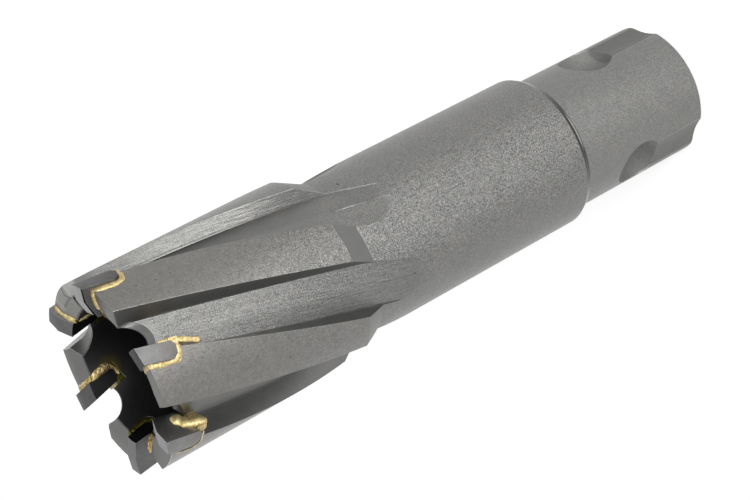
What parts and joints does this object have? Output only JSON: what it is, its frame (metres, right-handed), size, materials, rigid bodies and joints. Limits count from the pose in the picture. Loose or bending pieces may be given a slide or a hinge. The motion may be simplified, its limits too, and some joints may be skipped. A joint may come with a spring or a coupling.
{
  "type": "annular cutter",
  "caption": "Carbide-tipped annular cutter for magnetic drills: hollow fluted head with brazed tips, plain barrel and round shank with ball pockets.",
  "frame": {"origin": "centre of the shank's end face, which the tool stands on", "axes": "+Z along the tool's axis from the shank to the teeth; -Y is the front, the side with the bare marking place midway between two of the shank's pockets; +X is to the right of it"},
  "size_m": [0.025, 0.026, 0.0928],
  "materials": {
    "blasted_steel": "bead-blasted tool steel, smoother on the lands and shank",
    "carbide": "ground tungsten carbide, dark grey",
    "braze": "bare brazing alloy, softly shiny"
  },
  "bodies": {
    "root": {"cutter_body": "blasted_steel", "carbide_tip_1": "carbide", "carbide_tip_2": "carbide", "carbide_tip_3": "carbide", "carbide_tip_4": "carbide", "carbide_tip_5": "carbide", "carbide_tip_6": "carbide", "braze_joint_1": "braze", "braze_joint_2": "braze", "braze_joint_3": "braze", "braze_joint_4": "braze", "braze_joint_5": "braze", "braze_joint_6": "braze"}
  },
  "joints": []
}
